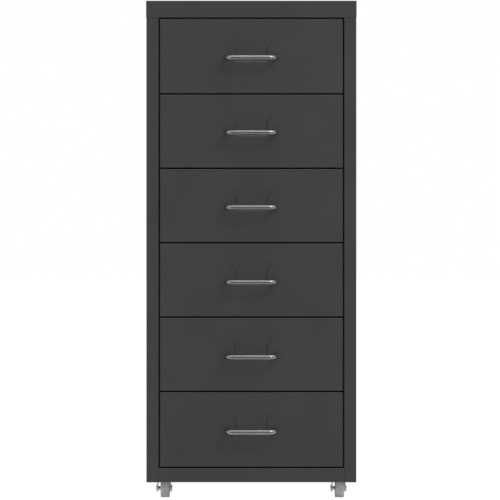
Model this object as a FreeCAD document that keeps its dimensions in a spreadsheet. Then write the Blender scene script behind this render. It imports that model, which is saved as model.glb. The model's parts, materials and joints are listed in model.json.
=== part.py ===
import FreeCAD, Part

import math
import os
import re

import Sketcher

from FreeCAD import Placement, Rotation, Vector

# A small steel drawer cabinet on four swivel castors, in millimetres.
# X is across the front, Y runs from the front to the back and Z is up.
# The origin is on the floor, under the middle of the whole object's box.

# Counts
DRAWER_COUNT = 6
BALL_COUNT = 10
RIVETS_PER_SIDE = 5

# Places closer together than this are taken as one
SAME_PLACE = 1e-4

# The driving sizes, which go into the sheet
SIZES = {
    # Casing
    "cabinet_width": 280.0,
    "body_depth": 409.3,
    "cap_height": 22.4,
    "cap_overhang": 0.35,
    "seam": 0.4,
    "steel": 0.8,
    "bend_radius": 1.4,
    "post_width": 16.3,
    "post_return": 13.0,
    "rear_flange": 18.0,
    "tongue_clear": 0.5,
    "lap": 3.0,
    "cap_hem": 10.0,
    "cap_hem_clear": 0.3,
    # Bottom rail and bottom panel
    "rail_height": 19.1,
    "rail_lip": 7.5,
    "rail_foot": 8.0,
    "pan_steel": 1.0,
    "pan_recess": 9.3,
    "pan_flange": 9.0,
    "pan_corner_clear": 1.0,
    # Rivets of the back panel
    "rivet_radius": 2.0,
    "rivet_head_radius": 3.6,
    "rivet_head": 0.9,
    "rivet_tail": 1.2,
    "rivet_end_inset": 30.0,
    "rivet_play": 0.1,
    # Drawer fronts
    "gap": 1.8,
    "pitch": 98.9,
    "end_extra": 1.85,
    "front_depth": 12.0,
    "front_hem": 9.0,
    "front_edge_radius": 1.1,
    # Label place pressed into each drawer front
    "label_drop": 25.7,
    "label_width": 53.0,
    "label_height": 30.8,
    "label_depth": 1.1,
    "label_guide_width": 4.9,
    "label_guide_steel": 0.6,
    "label_mouth": 9.5,
    "label_slit": 0.3,
    "label_ramp": 2.1,
    "label_top_ramp": 4.2,
    # Handles
    "handle_spacing": 64.0,
    "handle_reach": 28.0,
    "handle_droop": 2.0,
    "handle_below_label": 24.7,
    "rod_radius": 3.15,
    "rod_bend": 9.0,
    "screw_radius": 1.95,
    "screw_engagement": 7.5,
    "screw_bore_spare": 1.0,
    "screw_head_radius": 4.0,
    "screw_head": 2.4,
    "screw_socket_radius": 1.4,
    "screw_socket": 1.3,
    "thread_clear": 0.05,
    "screw_hole_clear": 0.25,
    # Drawer trays
    "tray_steel": 0.6,
    "tray_inset": 0.7,
    "tray_rise": 4.0,
    "tray_height": 84.0,
    "tray_rear_clear": 10.0,
    "tray_hem": 6.0,
    "tray_bend": 2.0,
    "lug_width": 12.0,
    "lug_height": 7.0,
    # Runner frames
    "frame_steel": 0.8,
    "frame_headroom": 3.0,
    "side_play": 0.8,
    "run_gap": 0.3,
    "ledge_reach": 12.0,
    "ledge_start": 16.0,
    "ledge_end_clear": 25.0,
    "drawer_travel": 310.0,
    "stop_play": 0.5,
    "stop_clear": 2.0,
    # Castors
    "castor_inset": 22.15,
    "castor_setback": 45.0,
    "plate_size": 34.0,
    "plate_steel": 1.5,
    "plate_corner": 3.0,
    "race_steel": 1.0,
    "race_play": 0.4,
    "race_clear": 0.6,
    "plate_hole_spacing": 24.0,
    "castor_screw_radius": 1.95,
    "castor_screw_head_radius": 3.6,
    "castor_screw_head": 2.2,
    "nut_height": 3.2,
    "nut_corner_radius": 4.0,
    "screw_end_spare": 1.0,
    "ball_radius": 1.95,
    "ball_circle": 8.0,
    "ball_play": 0.3,
    "king_radius": 3.0,
    "king_play": 0.08,
    "king_head_radius": 4.2,
    "king_head": 1.2,
    "king_head_clear": 0.3,
    "king_top_head_radius": 4.5,
    "king_top_head": 0.9,
    "king_hole_clear": 1.0,
    "fork_steel": 1.5,
    "fork_inside": 15.5,
    "fork_bend": 1.8,
    "fork_nose": 10.0,
    "fork_heel": 3.5,
    "leg_end_radius": 4.8,
    "trail": 9.0,
    "wheel_radius": 12.5,
    "wheel_width": 12.2,
    "wheel_clear": 1.5,
    "wheel_side_play": 0.3,
    "tread_chamfer": 1.0,
    "tread_flat": 0.1,
    "rim_depth": 1.2,
    "rim_width": 2.6,
    "hub_radius": 4.6,
    "axle_radius": 2.5,
    "axle_play": 0.08,
    "axle_head_radius": 4.5,
    "axle_head": 1.5,
    "axle_head_chamfer": 0.6,
    # How far every cut runs past what it cuts
    "overrun": 2.0,
}

# Sizes and places that follow from the driving sizes
DERIVED = {
    "inner_radius": "(bend_radius - steel)",
    "wheel_top": "(2 * wheel_radius)",
    "crown_under": "(wheel_top + wheel_clear)",
    "crown_top": "(crown_under + fork_steel)",
    "plate_under": "(crown_top + 2 * ball_radius + 2 * ball_play)",
    "castor_height": "(plate_under + plate_steel)",
    "floor_gap": "(castor_height - pan_recess)",
    "rail_top": "(floor_gap + rail_height)",
    "cap_bottom": f"(rail_top + {DRAWER_COUNT} * pitch + 2 * end_extra + gap)",
    "top_height": "(cap_bottom + cap_height)",
    "body_half": "(cabinet_width / 2 - cap_overhang)",
    "wall_in": "(body_half - steel)",
    "opening_half": "(body_half - post_width)",
    "front_half": "(opening_half - gap)",
    "tray_half": "(front_half - tray_inset)",
    "web_in": "(tray_half + side_play)",
    "joggle": "(steel - cap_overhang)",
    "face_at": "((handle_reach - body_depth - rivet_head) / 2)",
    "back_at": "(face_at + body_depth)",
    "back_in": "(back_at - 2 * steel)",
    "joggle_bottom": "(cap_bottom - seam - lap)",
    "label_top": "(pitch - label_drop)",
    "label_bottom": "(label_top - label_height)",
    "handle_level": "(label_top - handle_below_label)",
    "bar_standoff": "(handle_reach - rod_radius)",
    "ledge_top": "(tray_rise - run_gap)",
    "tray_rim": "(tray_rise + tray_height)",
    "tray_length": "(body_depth - 2 * steel - tray_rear_clear - front_depth)",
    "lug_at": "(front_depth + tray_length - tray_steel)",
    "stop_setback": "(lug_at - drawer_travel - stop_play - frame_steel)",
    "king_x": "(body_half - castor_inset)",
    "fork_half": "(fork_inside / 2 + fork_steel)",
    "wheel_shift": "((fork_inside - wheel_width) / 2 - wheel_side_play)",
    "bore_radius": "(axle_radius + axle_play)",
}

WORD = re.compile(r"[a-z][a-z_]*")

doc = FreeCAD.newDocument("drawer_cabinet")
sheet = doc.addObject("Spreadsheet::Sheet", "Sizes")
finished = []


def fill_sheet():
    """Write each driving size and its name into the sheet."""
    for row, (name, value) in enumerate(SIZES.items(), start=1):
        sheet.set(f"A{row}", name.replace("_", " "))
        sheet.set(f"B{row}", str(value))
        sheet.setAlias(f"B{row}", name)
    doc.recompute()


def bound(text):
    """Turn a rule in plain size names into one that reads the sheet."""

    def replace(match):
        word = match.group(0)
        if word in DERIVED:
            return bound(DERIVED[word])
        return f"Sizes.{word}" if word in SIZES else word

    return WORD.sub(replace, text)


def number(text):
    """Give the present value of a rule."""
    return float(sheet.evalExpression(bound(text)))


def grid_line(count_from_top):
    """Give the height of the line under a drawer, where 0 is the line over the top one."""
    return f"rail_top + gap / 2 + end_extra + {DRAWER_COUNT - count_from_top} * pitch"


# Helpers that make sketches and features


def new_body(label, x="0", y="0", z="0"):
    """Start a body at a place that follows the sheet."""
    body = doc.addObject("PartDesign::Body", label)
    body.Label = label
    for axis, rule in (("x", x), ("y", y), ("z", z)):
        body.setExpression(f"Placement.Base.{axis}", bound(rule))
    finished.append(body)
    return body


def plane_sketch(body, name, role, start):
    """Attach a sketch to one of the body's own planes, moved to start along its axis."""
    planes = {feature.Role: feature for feature in body.Origin.OriginFeatures}
    sketch = body.newObject("Sketcher::SketchObject", name)
    sketch.AttachmentSupport = [(planes[role], "")]
    sketch.MapMode = "FlatFace"
    sign = "-" if role == "XZ_Plane" else ""
    sketch.setExpression("AttachmentOffset.Base.z", bound(f"{sign}({start})"))
    return sketch


def fix_point(sketch, geometry, position, across, up):
    """Hold one point of a sketch at a place measured from the origin."""
    for kind, rule in (("DistanceX", across), ("DistanceY", up)):
        value = number(rule)
        index = sketch.addConstraint(Sketcher.Constraint(kind, -1, 1, geometry, position, value))
        sketch.setExpression(f"Constraints[{index}]", bound(rule))


def add_polygon(sketch, corners):
    """Draw a closed outline through corners that are given as rules."""
    places = [Vector(number(across), number(up), 0) for across, up in corners]
    first = sketch.GeometryCount
    count = len(corners)
    for index, place in enumerate(places):
        sketch.addGeometry(Part.LineSegment(place, places[(index + 1) % count]), False)
    for index in range(count):
        following = first + (index + 1) % count
        sketch.addConstraint(Sketcher.Constraint("Coincident", first + index, 2, following, 1))
    for index, (across, up) in enumerate(corners):
        fix_point(sketch, first + index, 1, across, up)


def add_circle(sketch, across, up, radius):
    """Draw a circle whose centre and radius are rules."""
    centre = Vector(number(across), number(up), 0)
    geometry = sketch.addGeometry(Part.Circle(centre, Vector(0, 0, 1), number(radius)), False)
    fix_point(sketch, geometry, 3, across, up)
    index = sketch.addConstraint(Sketcher.Constraint("Radius", geometry, number(radius)))
    sketch.setExpression(f"Constraints[{index}]", bound(radius))


def rectangle(low_across, low_up, high_across, high_up):
    """Give the corners of a rectangle."""
    return [
        (low_across, low_up),
        (high_across, low_up),
        (high_across, high_up),
        (low_across, high_up),
    ]


def extrude(body, name, role, start, length, polygons=(), circles=(), cut=False):
    """Add or cut a prism that runs from start along the positive axis."""
    sketch = plane_sketch(body, f"{name}_outline", role, start)
    for corners in polygons:
        add_polygon(sketch, corners)
    for across, up, radius in circles:
        add_circle(sketch, across, up, radius)
    doc.recompute()
    before = body.Shape.Volume if cut else 0.0
    feature = body.newObject("PartDesign::Pocket" if cut else "PartDesign::Pad", name)
    feature.Profile = sketch
    feature.setExpression("Length", bound(length))
    feature.Reversed = (role == "XZ_Plane") != cut
    sketch.Visibility = False
    doc.recompute()
    if cut and not body.Shape.Volume < before:
        raise RuntimeError(f"{body.Label}: {name} removes nothing")
    return feature


def revolve(body, name, corners):
    """Turn an outline of places along X and radii about the X axis."""
    sketch = plane_sketch(body, f"{name}_outline", "XY_Plane", "0")
    add_polygon(sketch, corners)
    doc.recompute()
    feature = body.newObject("PartDesign::Revolution", name)
    feature.Profile = sketch
    feature.ReferenceAxis = (sketch, ["H_Axis"])
    sketch.Visibility = False
    doc.recompute()
    return feature


def round_edges(body, name, radius, chosen):
    """Round the edges of the body for which chosen(edge) is true."""
    base = body.Tip
    names = [f"Edge{i}" for i, edge in enumerate(base.Shape.Edges, start=1) if chosen(edge)]
    if not names:
        raise RuntimeError(f"{body.Label}: {name} finds no edge")
    feature = body.newObject("PartDesign::Fillet", name)
    feature.Base = (base, names)
    feature.setExpression("Radius", bound(radius))
    doc.recompute()
    return feature


def near(value, rule):
    """Say whether a measured place is the one that a rule gives."""
    return abs(value - number(rule)) < SAME_PLACE


def upright_at(places):
    """Choose the upright edges that stand at the given places across and back."""

    def chosen(edge):
        box = edge.BoundBox
        if box.ZLength < box.XLength + box.YLength or len(edge.Vertexes) != 2:
            return False
        return any(near(box.Center.x, x) and near(box.Center.y, y) for x, y in places)

    return chosen


def straight_along(direction, places):
    """Choose the edges along X or Y that lie at places given as rules for the other two axes."""

    def chosen(edge):
        box = edge.BoundBox
        along = box.XLength if direction == "x" else box.YLength
        if along < box.XLength + box.YLength + box.ZLength - along or along <= 0:
            return False
        other = box.Center.y if direction == "x" else box.Center.x
        return any(near(other, a) and near(box.Center.z, b) for a, b in places)

    return chosen


def placed(thing, x, y, z):
    """Bind the place of a primitive to the sheet and give the primitive back."""
    for axis, rule in (("x", x), ("y", y), ("z", z)):
        thing.setExpression(f"Placement.Base.{axis}", bound(rule))
    return thing


def cylinder(name, radius, height, x, y, z, turn=None):
    """Make a round bar that starts at a place and runs up, or along turn's axis."""
    bar = doc.addObject("Part::Cylinder", name)
    if turn is not None:
        bar.Placement = Placement(Vector(), turn)
    bar.setExpression("Radius", bound(radius))
    bar.setExpression("Height", bound(height))
    return placed(bar, x, y, z)


def joined(name, base, tool, kind="Part::Fuse"):
    """Join two primitives, or cut the second from the first."""
    result = doc.addObject(kind, name)
    result.Base = base
    result.Tool = tool
    return result


def group(label, members):
    """Put identical separate solids in one sub-part."""
    compound = doc.addObject("Part::Compound", label)
    compound.Label = label
    compound.Links = members
    finished.append(compound)
    return compound


# Casing


def make_top_cover():
    """The lid: a pan turned down on four sides, over the tops of the walls."""
    body = new_body("top_cover")
    half = "cabinet_width / 2"
    front = "(face_at - cap_overhang)"
    back = "(back_at + cap_overhang)"
    outside = rectangle(f"-{half}", front, half, back)
    inside = rectangle(
        f"steel - {half}", f"{front} + steel", f"{half} - steel", f"{back} - steel"
    )
    extrude(body, "cover_block", "XY_Plane", "cap_bottom", "cap_height", [outside])
    extrude(
        body,
        "cover_hollow",
        "XY_Plane",
        "cap_bottom - overrun",
        "cap_height - steel + overrun",
        [inside],
        cut=True,
    )
    corners = [(x, y) for x in (f"-{half}", half) for y in (front, back)]
    round_edges(body, "cover_corner_bends", "bend_radius", upright_at(corners))
    top = number("top_height")
    round_edges(
        body,
        "cover_top_bends",
        "bend_radius",
        lambda edge: abs(edge.BoundBox.ZMin - top) < SAME_PLACE,
    )
    hem = rectangle(
        "cap_hem_clear - opening_half",
        f"{front} + steel / 2",
        "opening_half - cap_hem_clear",
        f"{front} + cap_hem",
    )
    extrude(body, "cover_front_hem", "XY_Plane", "cap_bottom", "steel", [hem])
    return body


def wall_section(side, inset):
    """Give the folded section of a side wall with its front post and rear flange."""
    out = f"{side} * (body_half - {inset})"
    wall = f"{side} * (body_half - {inset} - steel)"
    post = f"{side} * opening_half"
    post_out = f"{side} * (opening_half + steel)"
    flange = f"{side} * (body_half - rear_flange)"
    front = f"face_at + {inset}"
    back = f"back_at - {inset}"
    return [
        (flange, back),
        (out, back),
        (out, front),
        (post, front),
        (post, "face_at + post_return"),
        (post_out, "face_at + post_return"),
        (post_out, f"{front} + steel"),
        (wall, f"{front} + steel"),
        (wall, f"{back} - steel"),
        (flange, f"{back} - steel"),
    ]


def rivet_heights():
    """Give the heights of the rivets, spread evenly between the end insets."""
    low = "(floor_gap + rivet_end_inset)"
    high = "(joggle_bottom - rivet_end_inset)"
    step = f"({high} - {low}) / {RIVETS_PER_SIDE - 1}"
    return [f"{low} + {index} * {step}" for index in range(RIVETS_PER_SIDE)]


def rivet_across(side):
    """Give the place of a row of rivets, in the middle of the rear flange."""
    return f"{side} * (body_half - (rear_flange + steel) / 2)"


def make_side_panel(label, side):
    """A side wall folded in one with its front post, with a stepped top under the lid."""
    body = new_body(label)
    section = wall_section(side, "0")
    height = "cap_bottom - seam - floor_gap"
    extrude(body, "wall", "XY_Plane", "floor_gap", height, [section])
    outer = [section[index] for index in (1, 2, 3)]
    inner = [section[index] for index in (6, 7, 8)]
    round_edges(body, "outer_bends", "bend_radius", upright_at(outer))
    round_edges(body, "inner_bends", "inner_radius", upright_at(inner))
    extrude(
        body,
        "stepped_top",
        "XY_Plane",
        "joggle_bottom",
        "top_height - steel - joggle_bottom",
        [wall_section(side, "joggle")],
    )
    extrude(
        body,
        "rivet_holes",
        "XZ_Plane",
        "back_at - steel - overrun",
        "steel + 2 * overrun",
        circles=[
            (rivet_across(side), height, "rivet_radius + rivet_play")
            for height in rivet_heights()
        ],
        cut=True,
    )
    return body


def make_back_panel():
    """The flat back, held against the rear flanges, with a tongue up behind the lid."""
    body = new_body("back_panel")
    shoulder = "joggle_bottom - seam"
    tongue = "(body_half - rear_flange - tongue_clear)"
    side = "(wall_in - inner_radius)"
    outline = [
        (f"-{side}", "floor_gap"),
        (side, "floor_gap"),
        (side, shoulder),
        (tongue, shoulder),
        (tongue, "cap_bottom + lap"),
        (f"-{tongue}", "cap_bottom + lap"),
        (f"-{tongue}", shoulder),
        (f"-{side}", shoulder),
    ]
    holes = [
        (rivet_across(side), height, "rivet_radius + rivet_play")
        for side in (-1, 1)
        for height in rivet_heights()
    ]
    extrude(body, "sheet", "XZ_Plane", "back_in", "steel", [outline])
    extrude(
        body,
        "rivet_holes",
        "XZ_Plane",
        "back_in - overrun",
        "steel + 2 * overrun",
        circles=holes,
        cut=True,
    )
    return body


def make_back_rivets():
    """The rivets through the rear flanges, the back and the frames, with heads outside."""
    turn = Rotation(Vector(1, 0, 0), -90)
    members = []
    for side in (-1, 1):
        for index, height in enumerate(rivet_heights()):
            name = f"rivet_{'left' if side < 0 else 'right'}_{index + 1}"
            across = rivet_across(side)
            head = cylinder(
                f"{name}_head", "rivet_head_radius", "rivet_head", across, "back_at", height, turn
            )
            shank = cylinder(
                f"{name}_shank",
                "rivet_radius",
                "rivet_tail + frame_steel + 2 * steel + rivet_head / 2",
                across,
                "back_in - frame_steel - rivet_tail",
                height,
                turn,
            )
            members.append(joined(name, head, shank))
    return group("back_rivets", members)


def make_bottom_rail():
    """The rail under the lowest drawer: a channel between the two posts."""
    body = new_body("bottom_rail")
    section = [
        ("face_at", "floor_gap"),
        ("face_at + rail_foot", "floor_gap"),
        ("face_at + rail_foot", "floor_gap + steel"),
        ("face_at + steel", "floor_gap + steel"),
        ("face_at + steel", "rail_top - steel"),
        ("face_at + post_return - steel", "rail_top - steel"),
        ("face_at + post_return - steel", "rail_top - rail_lip"),
        ("face_at + post_return", "rail_top - rail_lip"),
        ("face_at + post_return", "rail_top"),
        ("face_at", "rail_top"),
    ]
    extrude(body, "channel", "YZ_Plane", "-opening_half", "2 * opening_half", [section])
    outer = [section[index] for index in (0, 8, 9)]
    round_edges(body, "outer_bends", "bend_radius", straight_along("x", outer))
    inner = [section[index] for index in (3, 4, 5)]
    round_edges(body, "inner_bends", "inner_radius", straight_along("x", inner))
    return body


def castor_places():
    """Give the name, side and end of each castor."""
    return [
        (f"{end}_{side}", -1 if side == "left" else 1, -1 if end == "front" else 1)
        for end in ("front", "rear")
        for side in ("left", "right")
    ]


def castor_centre(side, end):
    """Give the swivel axis of a castor."""
    across = f"{side} * king_x"
    back = "face_at + castor_setback" if end < 0 else "back_at - castor_setback"
    return across, back


def plate_holes():
    """Give the four holes of a castor plate, counted from the swivel axis."""
    half = "plate_hole_spacing / 2"
    return [(f"{a} * {half}", f"{b} * {half}") for a in (-1, 1) for b in (-1, 1)]


def make_bottom_panel():
    """The floor of the casing, which carries the castors and the runner frames."""
    body = new_body("bottom_panel")
    front = "face_at + post_return"
    back = "back_in"
    floor = rectangle("-wall_in", front, "wall_in", back)
    extrude(body, "floor", "XY_Plane", "castor_height", "pan_steel", [floor])
    for side, name in ((-1, "left"), (1, "right")):
        flange = rectangle(
            f"{side} * wall_in", front, f"{side} * (wall_in - pan_steel)", back
        )
        extrude(
            body,
            f"{name}_flange",
            "XY_Plane",
            "castor_height + pan_steel / 2 - pan_flange",
            "pan_flange",
            [flange],
        )
    rear = rectangle("-wall_in", "back_in - pan_steel", "wall_in", "back_in")
    extrude(
        body,
        "rear_flange",
        "XY_Plane",
        "castor_height + pan_steel / 2 - pan_flange",
        "pan_flange",
        [rear],
    )
    riser = rectangle(
        "pan_corner_clear - web_in", front, "web_in - pan_corner_clear", f"{front} + pan_steel"
    )
    extrude(
        body,
        "front_riser",
        "XY_Plane",
        "castor_height + pan_steel / 2",
        "rail_top - steel - castor_height - pan_steel / 2",
        [riser],
    )
    holes = []
    for _, side, end in castor_places():
        across, depth = castor_centre(side, end)
        holes.append((across, depth, "king_top_head_radius + king_hole_clear"))
        for shift_across, shift_depth in plate_holes():
            holes.append(
                (
                    f"{across} + {shift_across}",
                    f"{depth} + {shift_depth}",
                    "castor_screw_radius + screw_hole_clear",
                )
            )
    extrude(
        body,
        "castor_holes",
        "XY_Plane",
        "castor_height - overrun",
        "pan_steel + 2 * overrun",
        circles=holes,
        cut=True,
    )
    return body


def make_runner_frame(label, side):
    """A folded frame beside the drawers, with a pressed ledge under each and stops over each."""
    body = new_body(label)
    web = f"{side} * web_in"
    web_out = f"{side} * (web_in + frame_steel)"
    wall = f"{side} * wall_in"
    front = "face_at + post_return"
    low = "(castor_height + pan_steel)"
    section = [
        (wall, front),
        (web, front),
        (web, "back_in"),
        (wall, "back_in"),
        (wall, "back_in - frame_steel"),
        (web_out, "back_in - frame_steel"),
        (web_out, f"{front} + frame_steel"),
        (wall, f"{front} + frame_steel"),
    ]
    height = f"top_height - steel - frame_headroom - {low}"
    extrude(body, "frame", "XY_Plane", low, height, [section])
    step_low = "wall_in - joggle" if side > 0 else "-(wall_in + overrun)"
    step = rectangle("face_at", "joggle_bottom", "back_at", "top_height")
    extrude(body, "top_step", "YZ_Plane", step_low, "joggle + overrun", [step], cut=True)
    near_end = "face_at + ledge_start"
    far_end = "back_in - ledge_end_clear"
    levels = [f"({grid_line(count)} + ledge_top)" for count in range(DRAWER_COUNT + 1)]
    windows = [rectangle(near_end, z, far_end, f"{z} + ledge_reach") for z in levels]
    ledges = [rectangle(near_end, f"{z} - frame_steel", far_end, z) for z in levels]
    web_low = "web_in" if side > 0 else "-(web_in + frame_steel)"
    extrude(
        body,
        "windows",
        "YZ_Plane",
        f"{web_low} - overrun",
        "frame_steel + 2 * overrun",
        windows,
        cut=True,
    )
    ledge_low = "web_in - ledge_reach" if side > 0 else "-(web_in + frame_steel)"
    extrude(body, "ledges", "YZ_Plane", ledge_low, "ledge_reach + frame_steel", ledges)
    stops = [
        rectangle(
            "face_at + stop_setback",
            f"{grid_line(count + 1)} + tray_rim + stop_clear",
            "face_at + stop_setback + frame_steel",
            f"{level} - frame_steel / 2",
        )
        for count, level in enumerate(levels[:-1])
    ]
    stop_low = "web_in - ledge_reach" if side > 0 else "side_play - web_in"
    extrude(body, "stops", "YZ_Plane", stop_low, "ledge_reach - side_play", stops)
    extrude(
        body,
        "rivet_holes",
        "XZ_Plane",
        "back_in - frame_steel - overrun",
        "frame_steel + 2 * overrun",
        circles=[
            (rivet_across(side), height, "rivet_radius + rivet_play")
            for height in rivet_heights()
        ],
        cut=True,
    )
    return body


# Drawers


def make_drawer_front(count):
    """A drawer front: a shallow pan with a pressed place for a label."""
    body = new_body(f"drawer_front_{count}", "0", "face_at", grid_line(count))
    low = "gap / 2 - end_extra" if count == DRAWER_COUNT else "gap / 2"
    high = "pitch + end_extra - gap / 2" if count == 1 else "pitch - gap / 2"
    outline = rectangle("-front_half", low, "front_half", high)
    hollow = rectangle(
        "steel - front_half", f"{low} + steel", "front_half - steel", f"{high} - steel"
    )
    mouth = rectangle(
        "front_hem - front_half", f"{low} + front_hem", "front_half - front_hem", f"{high} - front_hem"
    )
    extrude(body, "block", "XZ_Plane", "0", "front_depth", [outline])
    low_value = number(low)
    high_value = number(high)
    half_value = number("front_half")

    def at_rim(edge):
        box = edge.BoundBox
        on_face = box.YMax < SAME_PLACE
        corner = (
            box.XLength + box.ZLength < SAME_PLACE
            and abs(abs(box.Center.x) - half_value) < SAME_PLACE
            and min(abs(box.Center.z - low_value), abs(box.Center.z - high_value)) < SAME_PLACE
        )
        return on_face or corner

    round_edges(body, "rim_bends", "front_edge_radius", at_rim)
    extrude(
        body, "hollow", "XZ_Plane", "steel", "front_depth - 2 * steel", [hollow], cut=True
    )
    extrude(
        body,
        "back_mouth",
        "XZ_Plane",
        "front_depth - steel - overrun",
        "steel + 2 * overrun",
        [mouth],
        cut=True,
    )
    half = "label_width / 2"
    bulge = rectangle(
        f"-({half} + steel)", "label_bottom - steel", f"{half} + steel", "label_top + steel"
    )
    extrude(body, "label_bulge", "XZ_Plane", "steel / 2", "label_depth + steel / 2", [bulge])
    pocket = rectangle(f"-{half}", "label_bottom", half, "label_top")
    extrude(
        body,
        "label_pocket",
        "XZ_Plane",
        "label_guide_steel",
        "label_depth - label_guide_steel",
        [pocket],
        cut=True,
    )
    window = [
        (f"-{half}", "label_top"),
        (f"-{half}", "label_top - label_mouth"),
        (f"label_guide_width - {half}", "label_top - label_mouth"),
        (f"label_guide_width - {half}", "label_bottom"),
        (f"{half} - label_guide_width", "label_bottom"),
        (f"{half} - label_guide_width", "label_top - label_mouth"),
        (half, "label_top - label_mouth"),
        (half, "label_top"),
    ]
    extrude(
        body,
        "label_window",
        "XZ_Plane",
        "-overrun",
        "label_guide_steel + overrun",
        [window],
        cut=True,
    )
    ramp = [
        ("0", "label_bottom - steel / 2"),
        ("0", "label_bottom"),
        ("label_depth", "label_bottom + label_ramp"),
        ("label_depth + steel / 2", "label_bottom + label_ramp"),
        ("label_depth + steel / 2", "label_bottom - steel / 2"),
    ]
    top_ramp = [
        ("0", "label_top + steel / 2"),
        ("0", "label_top"),
        ("label_depth", "label_top - label_top_ramp"),
        ("label_depth + steel / 2", "label_top - label_top_ramp"),
        ("label_depth + steel / 2", "label_top + steel / 2"),
    ]
    extrude(
        body,
        "label_ramp_face",
        "YZ_Plane",
        f"label_guide_width - {half}",
        "label_width - 2 * label_guide_width",
        [ramp],
    )
    extrude(body, "label_top_face", "YZ_Plane", f"-{half}", "label_width", [top_ramp])
    slits = [
        rectangle(
            f"{side} * ({half} - label_guide_width)",
            "label_bottom + label_ramp",
            f"{side} * ({half} - label_guide_width - label_slit)",
            "label_top - label_mouth",
        )
        for side in (-1, 1)
    ]
    extrude(
        body,
        "label_slits",
        "XZ_Plane",
        "label_guide_steel",
        "label_depth + steel + overrun",
        slits,
        cut=True,
    )
    extrude(
        body,
        "handle_holes",
        "XZ_Plane",
        "-overrun",
        "steel + 2 * overrun",
        circles=[
            (f"{side} * handle_spacing / 2", "handle_level", "screw_radius + screw_hole_clear")
            for side in (-1, 1)
        ],
        cut=True,
    )
    return body


def make_drawer_tray(count):
    """A drawer's tray, folded from one sheet, with a stop lug at each rear corner."""
    body = new_body(f"drawer_tray_{count}", "0", "face_at + front_depth", grid_line(count))
    outline = rectangle("-tray_half", "0", "tray_half", "tray_length")
    inside = rectangle(
        "tray_steel - tray_half", "tray_steel", "tray_half - tray_steel", "tray_length - tray_steel"
    )
    hemmed = rectangle(
        "2 * tray_steel - tray_half",
        "tray_steel",
        "tray_half - 2 * tray_steel",
        "tray_length - tray_steel",
    )
    extrude(body, "block", "XY_Plane", "tray_rise", "tray_height", [outline])
    low = number("tray_rise")
    round_edges(
        body,
        "floor_bends",
        "tray_bend",
        lambda edge: abs(edge.BoundBox.ZMax - low) < SAME_PLACE,
    )
    extrude(
        body,
        "hollow",
        "XY_Plane",
        "tray_rise + tray_steel",
        "tray_height - tray_steel - tray_hem",
        [inside],
        cut=True,
    )
    extrude(
        body,
        "mouth",
        "XY_Plane",
        "tray_rim - tray_hem - overrun",
        "tray_hem + 2 * overrun",
        [hemmed],
        cut=True,
    )
    lugs = []
    for side in (-1, 1):
        lugs.append(
            rectangle(
                f"{side} * tray_half",
                "tray_length - tray_steel",
                f"{side} * (tray_half - lug_width)",
                "tray_length",
            )
        )
    extrude(body, "stop_lugs", "XY_Plane", "tray_rim - tray_hem", "tray_hem + lug_height", lugs)
    extrude(
        body,
        "handle_holes",
        "XZ_Plane",
        "-overrun",
        "tray_steel + 2 * overrun",
        circles=[
            (f"{side} * handle_spacing / 2", "handle_level", "screw_radius + screw_hole_clear")
            for side in (-1, 1)
        ],
        cut=True,
    )
    return body


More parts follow.
